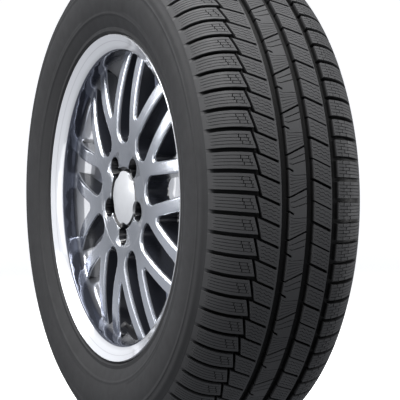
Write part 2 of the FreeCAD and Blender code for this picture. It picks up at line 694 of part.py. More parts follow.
def make_valve():
    """The snap-in valve's pieces by name, made about Z with the wheel's wall round z = 0."""
    wall = BARREL_WALL / 2
    body_end = wall + VALVE_BODY_LENGTH
    tube_end = body_end + VALVE_TUBE_OUT
    tube_start = tube_end - VALVE_TUBE_LENGTH
    sleeve = VALVE_TUBE_RADIUS + VALVE_FIT
    stem = on_own_axis(
        [
            (sleeve, -wall - VALVE_BULB_LENGTH),
            (VALVE_BULB_RADIUS - VALVE_FLARE, -wall - VALVE_BULB_LENGTH),
            (VALVE_BULB_RADIUS, -wall - VALVE_FIT - VALVE_FLARE),
            (VALVE_BULB_RADIUS, -wall - VALVE_FIT),
            (VALVE_HOLE_RADIUS - VALVE_FIT, -wall - VALVE_FIT),
            (VALVE_HOLE_RADIUS - VALVE_FIT, wall + VALVE_FIT),
            (VALVE_COLLAR_RADIUS, wall + VALVE_FIT),
            (VALVE_COLLAR_RADIUS, wall + VALVE_COLLAR_LENGTH),
            (VALVE_BODY_TIP_RADIUS, body_end),
            (sleeve, body_end),
        ]
    )
    tube = on_own_axis(
        [
            (VALVE_TUBE_BORE, tube_start),
            (VALVE_TUBE_RADIUS, tube_start),
            (VALVE_TUBE_RADIUS, tube_end),
            (VALVE_TUBE_BORE, tube_end),
        ]
    )
    core_radius = VALVE_TUBE_BORE - VALVE_FIT
    core_end = tube_end - VALVE_PIN_LENGTH
    core = on_own_axis(
        [
            (0, core_end - VALVE_CORE_LENGTH),
            (core_radius, core_end - VALVE_CORE_LENGTH),
            (core_radius, core_end),
            (VALVE_PIN_RADIUS, core_end),
            (VALVE_PIN_RADIUS, tube_end - VALVE_FIT),
            (0, tube_end - VALVE_FIT),
        ]
    )
    cap_start = body_end + VALVE_FIT
    cap_end = tube_end + VALVE_FIT + VALVE_CAP_WALL
    cap = on_own_axis(
        [
            (sleeve, cap_start),
            (sleeve + VALVE_CAP_WALL, cap_start),
            (sleeve + VALVE_CAP_WALL, cap_end - VALVE_CAP_WALL),
            (sleeve, cap_end),
            (0, cap_end),
            (0, cap_end - VALVE_CAP_WALL),
            (sleeve, cap_end - VALVE_CAP_WALL),
        ]
    )
    flute_at = Vector(sleeve + VALVE_CAP_WALL + VALVE_CAP_FLUTE / 2, 0, cap_start)
    flute = Part.makeCylinder(VALVE_CAP_FLUTE, cap_end - cap_start, flute_at)
    flutes = []
    for i in range(VALVE_CAP_FLUTES):
        copy = flute.copy()
        copy.rotate(CENTRE, Vector(0, 0, 1), 360.0 * i / VALVE_CAP_FLUTES)
        flutes.append(copy)
    cap = cap.cut(flutes).Solids[0]
    return {"valve_stem": stem, "valve_tube": tube, "valve_core": core, "valve_cap": cap}


def save(node, shape):
    shape.exportStep(os.path.join("parts", node + ".step"))


def main():
    os.makedirs("parts", exist_ok=True)
    save("tyre_casing", make_casing())
    save("tyre_tread", make_tread())
    for node, shape in make_wheel().items():
        save(node, shape)
    save("centre_cap", make_centre_cap())
    for node, shape in make_valve().items():
        save(node, on_valve_axis(shape))


main()
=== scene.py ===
"""A winter tyre on its forked-spoke alloy wheel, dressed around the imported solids."""

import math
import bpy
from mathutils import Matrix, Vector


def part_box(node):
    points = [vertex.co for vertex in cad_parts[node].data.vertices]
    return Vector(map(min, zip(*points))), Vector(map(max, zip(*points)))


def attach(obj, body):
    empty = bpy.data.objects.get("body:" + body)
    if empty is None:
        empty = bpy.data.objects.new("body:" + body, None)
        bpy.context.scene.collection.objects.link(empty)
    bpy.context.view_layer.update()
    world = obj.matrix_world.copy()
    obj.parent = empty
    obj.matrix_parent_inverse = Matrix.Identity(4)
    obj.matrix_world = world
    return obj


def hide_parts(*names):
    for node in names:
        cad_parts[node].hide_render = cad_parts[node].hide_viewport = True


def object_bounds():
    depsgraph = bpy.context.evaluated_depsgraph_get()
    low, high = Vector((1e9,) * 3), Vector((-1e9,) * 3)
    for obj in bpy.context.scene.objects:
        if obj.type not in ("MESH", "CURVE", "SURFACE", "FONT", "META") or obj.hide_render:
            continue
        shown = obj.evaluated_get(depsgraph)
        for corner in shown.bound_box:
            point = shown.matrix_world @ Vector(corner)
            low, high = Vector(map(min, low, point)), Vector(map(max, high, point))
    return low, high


bl_info = {
    "name": "Winter tyre on alloy wheel",
    "version": (1, 0, 0),
    "blender": (4, 5, 0),
    "location": "3D View > Sidebar > Winter tyre",
    "description": "Makes the tread, casing, wheel finishes and studio of a winter tyre",
    "category": "Object",
}

import bmesh
import bpy
import numpy as np
from bpy.props import FloatProperty, FloatVectorProperty, PointerProperty
from mathutils import Matrix, Vector

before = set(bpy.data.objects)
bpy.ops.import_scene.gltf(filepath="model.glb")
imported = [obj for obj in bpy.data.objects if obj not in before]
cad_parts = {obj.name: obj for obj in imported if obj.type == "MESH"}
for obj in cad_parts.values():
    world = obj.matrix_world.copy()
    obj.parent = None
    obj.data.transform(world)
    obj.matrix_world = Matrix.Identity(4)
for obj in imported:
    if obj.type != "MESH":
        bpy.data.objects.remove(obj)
CAD_BOX = [list(corner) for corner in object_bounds()]
TREAD_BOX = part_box("tyre_tread")

MM = 0.001
BODY = "root"

# Tyre section, in millimetres, as in the solids
HALF_SECTION = 122.5
CROWN_ARC = 1000.0
SHOULDER_ARC = 60.0
SIDEWALL_ARC = 63.0
SHOULDER_TURN = math.radians(58)
RIB_TOP = (245.3, 110.85)
RIB_LOW = (240.3, 110.85)
FLANGE_TOP = (236.0, 104.25)
FLANGE_HEEL = (226.8, 95.05)
HEEL_TOP = (223.5, 95.05)
HEEL_LOW = (218.5, 90.05)
TOE = (217.2, 75.05)
BEAD_TUCK = (233.0, 98.5)
LINER = (
    (240.3, 90.75), (252.0, 103.0), (268.0, 110.6), (290.0, 113.5),
    (310.0, 110.0), (325.0, 99.0), (337.0, 72.0),
)
CASING_LINES = 320
SIDE_ROWS = 34

# Sidewall relief: heights and radii, and the spread of its steps. The inset keeps it all inside the solids
SIDE_INSET = 0.55
RELIEF_STEP = 0.25
LOW_RING = (0.9, 263.0, 266.0)
HIGH_RING = (0.7, 309.0, 311.0)
RIDGE = (1.5, 318.5, 4.0)
PANEL = (0.6, 270.0, 307.0)
PANEL_TURN = (0.28, 1.29, 0.004)

# Widths and depths of the tread's buried underside, and of the casing's skin under the tread
TREAD_UNDER = (
    (111.0, 5.0), (100.0, 11.0), (60.0, 10.6), (0.0, 10.6), (-60.0, 10.6), (-100.0, 11.0), (-111.0, 5.0),
)
CASING_TOP_Y = (0.0, 60.0, 100.0, 105.5, 108.5, 111.0)
CASING_TOP_DEPTH = (9.4, 9.4, 10.0, 7.6, 5.0, 2.2)

# Tread pattern, in millimetres round the outside and across it
PITCHES = 80
SIPES = 4
SIPE_WAVE = 0.9
SLOT_WALL = 0.45
SHOULDER_SLOT = 6.0
RIB_SLOT = 4.0
INNER_RIB_SLOTS = (4.2, 2.4)
INNER_START = 5.8

# The saw-toothed groove: where its line begins, its run across, and its rims and floor from that line
SAW_FROM = -58.0
SAW_RUN = 8.0
SAW_OUTER_RIMS = (-4.2, -2.6)
SAW_FLOOR = (-2.1, 1.9)
SAW_INNER_RIM = 2.4

# Edges of the straight grooves' floors, and the rims that come after them
OUTER_GROOVE_FLOOR = -15.5
MIDDLE_GROOVE_FLOOR = 27.0
MIDDLE_GROOVE_RIM = 27.75
INNER_GROOVE_FLOOR = (58.0, 64.5)
INNER_GROOVE_RIM = 65.25

# Rows across the tread: a width, and the shares of the slots' and of the fine cuts' depths there
OUTER_EDGE = ((-112.7, 0, 0), (-111.0, 0.07, 0), (-108.5, 0.4, 0), (-105.5, 0.7, 1), (-100.5, 0.9, 1))
OUTER_RIB_EDGE = ((-23.6, 1, 0), (-22.6, 0, 0), (-21.0, 0, 0))
INNER_RIB_EDGE = ((53.0, 1, 0), (53.8, 0, 0), (54.5, 0, 0))
INNER_EDGE = ((102.0, 0.85, 1), (105.5, 0.7, 1), (108.5, 0.4, 0), (111.0, 0.07, 0), (112.7, 0, 0))

# Widths of the plain rows in the blocks and ribs
OUTER_BLOCK = (-95.0, -89.5, -84.5, -80.6)
OUTER_RIB = (-46.8, -43.2, -39.6, -36.0, -32.4, -28.8, -25.6)
INNER_RIB = (30.5, 34.0, 37.5, 41.0, 44.5, 48.0, 51.0)
INNER_BLOCK_START = 68.5
INNER_BLOCK = (92.0, 97.5)

# A slit along the tread is a rim, a bottom and a rim: steps across, and shares of its depth
SLIT = ((-0.7, 0), (0, 1), (0.7, 0))
OUTER_SLITS = (-78.0, -67.5)
OUTER_SLIT_STEP = 2.0
INNER_SLITS = (73.7, 85.5)
INNER_SLIT_STEP = 5.3

# Rows of the middle rib: a width, and the shares of the notch's and of the fine cuts' depths there
CENTRE_ROWS = (
    (-9.0, 1, 0), (-6.5, 1, 1), (-3.4, 1, 1), (-2.6, 0, 1), (1.5, 0, 1),
    (5.5, 0, 1), (9.5, 0, 1), (13.0, 0, 1), (15.75, 0, 0),
)

# Angles under which faces are shaded as one, and the merging distance of a copied solid in metres
BAND_ANGLE = math.radians(32)
SOLID_ANGLE = math.radians(30)
MERGE = 2e-6
FACE_WEIGHT = 80

# Where the wheel's finishes, its painted shade and its painted highlight change, in metres, as in the
# solids; a pair is a range
SPOKE_CREST = 0.108
SPOKE_ARC = 0.35
SPOKE_FRONT = -0.0915
SPOKE_ENDS = (0.085, 0.150)
HUB_RADIUS = 0.076
HUB_FRONT = -0.089
LIP_INSIDE = (0.2150, 0.2140)
# Painted shade: the lip darkens towards its inner edge, and in a thin ring where the flange steps
LIP_EDGE_SHADE = (0.2150, 0.2200)
LIP_STEP_SHADE = 0.2262
LIP_STEP_SHADE_HALF = 0.0007
# Painted shadow in the barrel just behind the lip, then a painted highlight, then painted shade deeper in
UNDER_LIP_SHADOW = (-0.080, -0.066)
DEEP_WALL_SHADE = (-0.045, 0.0)
INBOARD_END = (0.042, 0.050)

# Depth under the front where the dark begins, and its share for each metre past that, on spokes and on hub.
# On the spokes it is paint; on the hub it begins almost at once and steeply, as painted shade over the bolt
# pockets and their rounded rims
PAINT_AND_SHADE_DEPTH = (0.0030, 0.0002)
PAINT_AND_SHADE_SLOPE = (450.0, 2500.0)

# Small parts: the cap's colour, and each valve part's node, material, colour, roughness and metal
CAP_COLOUR = (0.70, 0.71, 0.73)
VALVE_FINISHES = (
    ("valve_stem", "valve_rubber", (0.03, 0.03, 0.032), 0.6, 0.0),
    ("valve_tube", "valve_brass", (0.72, 0.55, 0.28), 0.3, 1.0),
    ("valve_core", "valve_pin", (0.72, 0.55, 0.28), 0.3, 1.0),
    ("valve_cap", "valve_plastic", (0.02, 0.02, 0.021), 0.45, 0.0),
)

# Stage, in metres and watts: name, place, aim, size and power of each light, then surround, floor and camera
LIGHTS = (
    ("overhead", (0.6, -0.4, 2.6), (0, 0, 0.1), (2.4, 2.4), 165),
    ("tread_key", (2.0, -0.9, 3.0), (0.3, 0, 0), (1.4, 1.4), 70),
    ("wheel_face", (-1.6, -2.6, 1.2), (0, -0.1, 0), (1.6, 2.0), 40),
    ("lip_front", (0.5, -3.2, 0.3), (0, -0.1, 0), (2.4, 5.0), 40),
    ("barrel_back", (0.5, 2.5, 0.2), (-0.1, 0.1, 0), (1.0, 1.6), 30),
)
SURROUND = (0.9, 0.93, 1.0, 1.0)
SURROUND_STRENGTH = 0.42
FLOOR_GLOW = 0.55
FLOOR_REACH = 6.0
FLOOR_BEND = 2.5
WALL_HEIGHT = 4.0
FLOOR_SIDES = 96
AIM_RIGHT = 0.03073
AIM_DOWN = 0.00395
SENSOR = 36.0


class TyreSettings(bpy.types.PropertyGroup):
    """Sizes and colours of the rubber."""

    radius: FloatProperty(
        name="Outer radius",
        description="Radius of the tread at the middle of the tyre",
        default=(TREAD_BOX[1][2] - TREAD_BOX[0][2]) / 2,
        unit="LENGTH",
    )
    groove_depth: FloatProperty(
        name="Groove depth", description="Depth of the main grooves", default=0.0085, unit="LENGTH"
    )
    sipe_depth: FloatProperty(
        name="Sipe depth", description="Depth of the fine cuts in the blocks", default=0.0045, unit="LENGTH"
    )
    sipe_width: FloatProperty(
        name="Sipe width", description="Width of the fine cuts in the blocks", default=0.0008, unit="LENGTH"
    )
    tread_colour: FloatVectorProperty(
        name="Tread colour",
        description="Colour of the tread rubber",
        subtype="COLOR",
        default=(0.043, 0.043, 0.044),
    )
    side_colour: FloatVectorProperty(
        name="Sidewall colour",
        description="Colour of the sidewall rubber",
        subtype="COLOR",
        default=(0.026, 0.026, 0.027),
    )


class WheelSettings(bpy.types.PropertyGroup):
    """Colours of the wheel and its small parts."""

    alloy: FloatVectorProperty(
        name="Alloy colour",
        description="Colour of the clear-coated alloy",
        subtype="COLOR",
        default=(0.53, 0.55, 0.59),
    )
    # Also the base of the barrel's painted highlight behind the lip and of its pale inboard end.
    lip: FloatVectorProperty(
        name="Lip colour",
        description="Colour of the polished lip",
        subtype="COLOR",
        default=(0.82, 0.83, 0.86),
    )
    # Also the base of the barrel's painted shadow behind the lip and of its painted shade deeper in.
    barrel: FloatVectorProperty(
        name="Painted colour",
        description="Colour of the painted walls between the spokes",
        subtype="COLOR",
        default=(0.022, 0.024, 0.031),
    )
    roughness: FloatProperty(
        name="Alloy roughness",
        description="Roughness of the alloy under its clear coat",
        subtype="FACTOR",
        default=0.24,
    )


class StageSettings(bpy.types.PropertyGroup):
    """The studio around the wheel."""

    floor: FloatVectorProperty(
        name="Floor colour", description="Colour of the floor and sweep", subtype="COLOR",
        default=(0.86, 0.86, 0.86),
    )
    azimuth: FloatProperty(
        name="Camera azimuth", description="Turn of the camera round the tyre", subtype="ANGLE",
        default=math.radians(64.853),
    )
    elevation: FloatProperty(
        name="Camera elevation", description="Height of the camera as an angle", subtype="ANGLE",
        default=math.radians(0.205),
    )
    roll: FloatProperty(
        name="Camera roll", description="Turn of the camera about its own axis", subtype="ANGLE",
        default=math.radians(-0.609),
    )
    distance: FloatProperty(
        name="Camera distance", description="From the wheel's middle to the camera", default=2.7959,
        unit="LENGTH",
    )
    lens: FloatProperty(
        name="Focal length", description="Focal length on a 36 mm sensor", default=171.9, unit="CAMERA"
    )


def mesh_object(name, rings, material, replaced):
    """A piece whose closed rings of points are joined into a tube."""
    points = np.concatenate(rings)
    loops, totals = ring_faces(rings)
    mesh = bpy.data.meshes.new(name)
    mesh.vertices.add(len(points))
    mesh.vertices.foreach_set("co", np.ascontiguousarray(points, np.float32).ravel())
    mesh.loops.add(len(loops))
    mesh.polygons.add(len(totals))
    mesh.polygons.foreach_set("loop_start", np.r_[0, np.cumsum(totals)[:-1]].astype(np.int32))
    mesh.loops.foreach_set("vertex_index", loops.astype(np.int32))
    mesh.update(calc_edges=True)
    if mesh.validate():
        raise RuntimeError(f"{name} had faces that are not valid")
    mesh.shade_smooth()
    mesh.set_sharp_from_angle(angle=BAND_ANGLE)
    mesh.materials.append(material)
    piece = bpy.data.objects.new(name, mesh)
    bpy.context.scene.collection.objects.link(piece)
    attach(piece, BODY)
    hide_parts(replaced)
    return piece


def ring_faces(rings):
    """Faces of a closed tube through closed rings of points, the last ring joined to the first.

    Gives the faces' corner numbers in one row, and each face's count of corners. Rings of equal count give
    four-sided faces. Where the count falls or grows by a whole factor, each edge of the coarse ring and its
    several edges on the fine ring share one face.
    """
    counts = [len(r) for r in rings]
    starts = np.r_[0, np.cumsum(counts)]
    loops = []
    totals = []
    for i, n in enumerate(counts):
        j = (i + 1) % len(counts)
        m = counts[j]
        few = min(n, m)
        step = np.arange(few)[:, None]
        fine_n = n // few
        fine_m = m // few
        here = (step * fine_n + np.arange(fine_n + 1)) % n + starts[i]
        there = (step * fine_m + np.arange(fine_m, -1, -1)) % m + starts[j]
        faces = np.hstack([here, there])
        loops.append(faces.ravel())
        totals.append(np.full(few, faces.shape[1]))
    return np.concatenate(loops), np.concatenate(totals)


def about_axle(radius, width, angle):
    """Points in metres at a radius from the axle, a place along it and an angle up from +X."""
    return np.stack([radius * np.cos(angle), width + 0 * angle, radius * np.sin(angle)], axis=-1) * MM


class Section:
    """The tyre's outer section: arcs for crown, shoulder and sidewall, each tangent to the next."""

    def __init__(self, radius):
        end_y = HALF_SECTION - SIDEWALL_ARC * (1 - math.sin(SHOULDER_TURN))
        self.shoulder_y = end_y - SHOULDER_ARC * math.sin(SHOULDER_TURN)
        crown_turn = math.asin(self.shoulder_y / (CROWN_ARC - SHOULDER_ARC))
        self.crown_y = CROWN_ARC * math.sin(crown_turn)
        self.crown_r = radius - CROWN_ARC
        self.shoulder_r = self.crown_r + (CROWN_ARC - SHOULDER_ARC) * math.cos(crown_turn)
        back = SHOULDER_ARC - SIDEWALL_ARC
        self.side_r = self.shoulder_r + back * math.cos(SHOULDER_TURN)
        self.side_y = self.shoulder_y + back * math.sin(SHOULDER_TURN)

    def tread(self, y, depth):
        """Radius and width of the point that lies a depth under the skin at width y, along the normal."""
        a = np.abs(y)
        crown = a <= self.crown_y
        arc = np.where(crown, CROWN_ARC, SHOULDER_ARC)
        middle_y = np.where(crown, 0.0, self.shoulder_y)
        middle_r = np.where(crown, self.crown_r, self.shoulder_r)
        turn = np.arcsin((a - middle_y) / arc)
        radius = middle_r + (arc - depth) * np.cos(turn)
        return radius, np.sign(y) * (middle_y + (arc - depth) * np.sin(turn))

    def side(self, count):
        """Radius, width and normal of the sidewall from the tread's edge to the rim rib.

        First the sidewall arc from the shoulder to the widest place, then an arc that is tangent there and
        ends at the rib.
        """
        turn = np.linspace(SHOULDER_TURN, math.pi / 2, count)
        radius = self.side_r + SIDEWALL_ARC * np.cos(turn)
        width = self.side_y + SIDEWALL_ARC * np.sin(turn)
        fall = self.side_r - RIB_TOP[0]
        inset = HALF_SECTION - RIB_TOP[1]
        lower = (fall**2 + inset**2) / (2 * inset)
        down = np.linspace(0, math.asin(fall / lower), count)[1:]
        radius = np.r_[radius, self.side_r - lower * np.sin(down)]
        width = np.r_[width, HALF_SECTION - lower * (1 - np.cos(down))]
        normal_r = np.r_[np.cos(turn), -np.sin(down)]
        normal_y = np.r_[np.sin(turn), np.cos(down)]
        return radius, width, normal_r, normal_y


class Lines:
    """The lines round the tread that one pitch of a rib needs.

    A slot has two rims and two floor edges. Each of the evenly spaced fine cuts has a rim, a bottom and a
    rim. place is a line's distance from the slot's middle. slot and cut say which lines go down to a floor,
    and wave which ones swing sideways. step is the number of the strip of rubber between two cuts, and phase
    is the share of the pitch below the slot.
    """

    def __init__(self, slot_width, pitch, sipe_width):
        half = slot_width / 2
        floor = half - SLOT_WALL
        gap = (pitch - slot_width) / (SIPES + 1)
        cuts = (half + gap * np.arange(1, SIPES + 1))[:, None] + np.array([-0.5, 0, 0.5]) * sipe_width
        self.place = np.r_[-half, -floor, floor, half, cuts.ravel()]
        self.slot = np.r_[0, 1, 1, 0, np.zeros(3 * SIPES)]
        self.cut = np.r_[np.zeros(4), np.tile([0, 1, 0], SIPES)]
        self.wave = np.r_[np.zeros(4), np.ones(3 * SIPES)]
        self.step = np.r_[SIPES, SIPES, 0, 0, (np.arange(SIPES)[:, None] + [0, 0.5, 1]).ravel()]
        edges = np.array([half, floor]) / pitch
        self.phase = np.r_[1 - edges, edges[::-1], cuts.ravel() / pitch]

    def then(self, other, pitch):
        """This pitch followed by another one."""
        self.place = np.r_[self.place, other.place + pitch]
        for name in ("slot", "cut", "wave", "step", "phase"):
            setattr(self, name, np.r_[getattr(self, name), getattr(other, name)])
        return self


class Rows:
    """Rows of points across the tread: a width, a place round the tyre and a depth for every line."""

    def __init__(self, lines, start, slant, slant_from, groove, cut_depth):
        self.lines = lines
        self.start = start
        self.slant = slant
        self.slant_from = slant_from
        self.groove = groove
        self.cut_depth = cut_depth
        self.rows = []

    def add(self, y, slot=1.0, cut=1.0, wave=0.0, slit=0.0):
        """A row at width y: the slots' and the cuts' shares of their depths, a wave, a long slit's depth.

        A line's place is the start, its own place, the slant times the distance across, and the wave.
        """
        g = self.lines
        y = y + 0 * g.place
        depth = np.maximum(g.slot * slot * self.groove, g.cut * cut * self.cut_depth)
        depth = np.maximum(depth, slit)
        around = self.start + g.place + self.slant * (y - self.slant_from) + wave * g.wave
        self.rows.append((y, around, depth))

    def floor(self, y):
        """A row on the floor of a groove round the tyre."""
        self.add(y, 1.0, 0.0)
        y, around, depth = self.rows.pop()
        self.rows.append((y, around, 0 * depth + self.groove))

    def table(self, rows):
        """Rows from a table of widths and of the slots' and the cuts' shares of their depths."""
        for y, slot, cut in rows:
            self.add(y, slot, cut)

    def waves(self, widths):
        """Rows whose fine cuts swing to one side and the other in turn."""
        for i, y in enumerate(widths):
            self.add(y, 1, 1, SIPE_WAVE * (-1) ** i)

    def slit(self, y, depth):
        """Three rows along a slit at width y that goes down to a depth."""
        for side, share in SLIT:
            self.add(y + side, 1, 1, 0, share * depth)


def tread_rows(radius, groove, cut_depth, cut_width):
    """Every row of the tread for two pitches, from the outboard edge to the inboard one.

    Five ribs lie between four grooves. In each rib the lines run across at the rib's own slant, so slots
    and fine cuts lie on them. The outboard shoulder and its neighbour are parted by a saw-toothed groove,
    whose line runs across in step with the phase.
    """
    pitch = 2 * math.pi * radius / PITCHES
    depths = {"groove": groove, "cut_depth": cut_depth}

    shoulder = Lines(SHOULDER_SLOT, pitch, cut_width).then(Lines(SHOULDER_SLOT, pitch, cut_width), pitch)
    block = (shoulder.slot == 0) * 1.0
    outer = Rows(shoulder, start=-9.0, slant=0.075, slant_from=-107.0, **depths)
    outer.table(OUTER_EDGE)
    for y in OUTER_BLOCK:
        outer.add(y)
    # The slits are cut in all strips of a block but its first and last ones
    middle = block * (np.abs(shoulder.step - SIPES / 2) < 1.25)
    for y in OUTER_SLITS:
        outer.slit(y + OUTER_SLIT_STEP * shoulder.step, middle * cut_depth)
    saw = SAW_FROM + SAW_RUN * shoulder.phase
    for rim in SAW_OUTER_RIMS:
        outer.add(saw + rim, 1, 0)
    outer.floor(saw + SAW_FLOOR[0])

    lines = Lines(RIB_SLOT, pitch, cut_width).then(Lines(RIB_SLOT, pitch, cut_width), pitch)
    saw = SAW_FROM + SAW_RUN * lines.phase
    outer_rib = Rows(lines, start=-1.67, slant=0.42, slant_from=-51.3, **depths)
    outer_rib.floor(saw + SAW_FLOOR[1])
    outer_rib.add(saw + SAW_INNER_RIM, 1, 0)
    outer_rib.waves(OUTER_RIB)
    outer_rib.table(OUTER_RIB_EDGE)
    outer_rib.floor(OUTER_GROOVE_FLOOR)

    centre = centre_rib_rows(pitch, groove, cut_depth, cut_width)

    wide, narrow = INNER_RIB_SLOTS
    lines = Lines(wide, pitch, cut_width).then(Lines(narrow, pitch, cut_width), pitch)
    inner_rib = Rows(lines, start=INNER_START - pitch, slant=0.45, slant_from=27.8, **depths)
    inner_rib.floor(MIDDLE_GROOVE_FLOOR)
    inner_rib.add(MIDDLE_GROOVE_RIM, 1, 0)
    inner_rib.waves(INNER_RIB)
    inner_rib.table(INNER_RIB_EDGE)
    inner_rib.floor(INNER_GROOVE_FLOOR[0])

    odd = (np.floor(shoulder.step + 0.25) % 2) * 1.0
    inner = Rows(shoulder, start=INNER_START - pitch, slant=0.02, slant_from=86.0, **depths)
    inner.floor(INNER_GROOVE_FLOOR[1])
    inner.add(INNER_GROOVE_RIM, 1, 0)
    inner.add(INNER_BLOCK_START)
    inner.slit(INNER_SLITS[0] + INNER_SLIT_STEP * odd, block * cut_depth)
    inner.slit(INNER_SLITS[1], block * (1 - odd) * cut_depth)
    for y in INNER_BLOCK:
        inner.add(y)
    inner.table(INNER_EDGE)

    whole = outer.rows + outer_rib.rows + centre + inner_rib.rows + inner.rows
    y, around, depth = (np.array(v) for v in zip(*whole))
    return y, around, depth, 2 * pitch


def centre_rib_rows(pitch, groove, cut_depth, cut_width):
    """Rows of the middle rib, with one slot through it and one notch in its edge on every second pitch.

    Lines near the slot or the notch slant with it, and those further off less and less, so the fine cuts fan
    out between them.
    """
    turn = 2 * pitch
    start = 0.8
    edge_y = CENTRE_ROWS[0][0]
    slot_slant = 0.48
    notch_at = 18.4
    notch_end = -2.6
    notch_slant = 0.8
    notch_reach = 15.0
    half = 1.5
    floor = half - SLOT_WALL
    near_cuts = 2
    far_cuts = 6
    floor_before = 0.7
    floor_after = 5.75
    near = half + (notch_at - 2 * half) / (near_cuts + 1) * np.arange(1, near_cuts + 1)
    far = notch_at + half + (turn - notch_at - 2 * half) / (far_cuts + 1) * np.arange(1, far_cuts + 1)
    edges = np.array([-half, -floor, floor, half])
    cut = np.array([-0.5, 0, 0.5]) * cut_width
    place = np.r_[edges, (near[:, None] + cut).ravel(), notch_at + edges, (far[:, None] + cut).ravel()]
    slot = np.r_[0, 1, 1, 0, np.zeros(4 + 3 * (near_cuts + far_cuts))]
    notch = np.r_[np.zeros(4 + 3 * near_cuts), 0, 1, 1, 0, np.zeros(3 * far_cuts)]
    sipe = np.r_[np.zeros(4), np.tile([0, 1, 0], near_cuts), np.zeros(4), np.tile([0, 1, 0], far_cuts)]
    from_slot = np.minimum(np.abs(place), turn - np.abs(place))
    with_slot = 1 - from_slot / pitch
    with_notch = np.clip(1 - np.abs(place - notch_at) / notch_reach, 0, 1)
    rows = []
    for y, notches, sipes in CENTRE_ROWS:
        drop = notch_slant * (min(y, notch_end) - edge_y)
        around = start + place - slot_slant * (y - edge_y) * with_slot + drop * with_notch
        depth = np.maximum(np.maximum(slot, notch * notches) * groove, sipe * sipes * cut_depth)
        rows.append((y + 0 * place, around, depth))
    first = (rows[0][0] - floor_before, rows[0][1], 0 * place + groove)
    last = (rows[-1][0] + floor_after, rows[-1][1], 0 * place + groove)
    return [first, *rows, last]


def tread_band(settings, material):
    """The tread as one closed band: the patterned skin outside, and a plain skin buried in the casing.

    Each row's points for two pitches are repeated round the tyre. A point's radius and width come from the
    section at the row's width, less its depth along the normal, and its angle is its place divided by the
    outer radius.
    """
    radius = settings.radius / MM
    section = Section(radius)
    y, around, depth, turn = tread_rows(
        radius, settings.groove_depth / MM, settings.sipe_depth / MM, settings.sipe_width / MM
    )
    copies = PITCHES // 2
    around = (around[:, None, :] + turn * np.arange(copies)[None, :, None]).reshape(len(y), -1)
    y = np.tile(y, copies)
    depth = np.tile(depth, copies)
    r, w = section.tread(y, depth)
    rings = list(about_axle(r, w, -around / radius))
    step = around.shape[1] // CASING_LINES
    for under_y, under in TREAD_UNDER:
        edge = around[-1] if under_y > 0 else around[0]
        r, w = section.tread(np.full(CASING_LINES, under_y), under)
        rings.append(about_axle(r, w, -edge[::step] / radius))
    piece = mesh_object("tread_band", rings, material, "tyre_tread")
    # Each point's depth as a share of the groove depth, which darkens the tread with painted shade in its
    # grooves and cuts.
    share = np.zeros(sum(len(q) for q in rings), np.float32)
    share[: depth.size] = (depth / (settings.groove_depth / MM)).ravel()
    piece.data.attributes.new("depth_share", "FLOAT", "POINT").data.foreach_set("value", share)
    return piece


def side_relief(radius):
    """Height of the sidewall's relief at a radius: two flat rings between smooth steps, and a ridge."""
    def step(at):
        return 1 / (1 + np.exp(-(radius - at) / RELIEF_STEP))

    def ring(height, low, high):
        return height * (step(low) - step(high))

    height, middle, spread = RIDGE
    return ring(*LOW_RING) + ring(*HIGH_RING) + height * np.exp(-(((radius - middle) / spread) ** 2))


def panel_recess(radius, angle):
    """Depth of four bare recessed panels, each the product of a window in radius and one in angle."""
    def window(v, low, high, over):
        return 1 / ((1 + np.exp(-(v - low) / over)) * (1 + np.exp((v - high) / over)))

    depth, low, high = PANEL
    turn = np.mod(angle, math.pi / 2)
    return depth * window(radius, low, high, RELIEF_STEP) * window(turn, *PANEL_TURN)


def casing(settings, material):
    """Sidewalls, beads and liner as one closed ring of sections.

    Each sidewall point is moved along its normal by the relief less the panels' recess and an even inset.
    """
    section = Section(settings.radius / MM)
    angle = np.arange(CASING_LINES) * 2 * math.pi / CASING_LINES
    r, w, normal_r, normal_w = (v[:, None] for v in section.side(SIDE_ROWS))
    rise = side_relief(r) - panel_recess(r, angle) - SIDE_INSET
    top_r, top_w = (v[:, None] for v in section.tread(np.array(CASING_TOP_Y), np.array(CASING_TOP_DEPTH)))
    bead = np.array([RIB_LOW, FLANGE_TOP, BEAD_TUCK, FLANGE_HEEL, HEEL_TOP, HEEL_LOW, TOE, *LINER])
    halves = []
    for side in (-1, 1):
        half = np.concatenate([
            about_axle(top_r, side * top_w, angle),
            about_axle(r + rise * normal_r, side * (w + rise * normal_w), angle),
            about_axle(bead[:, :1], side * bead[:, 1:], angle),
        ])
        halves.append(half[1:] if side > 0 else half[::-1])
    return mesh_object("sidewalls", list(np.concatenate(halves)), material, "tyre_casing")


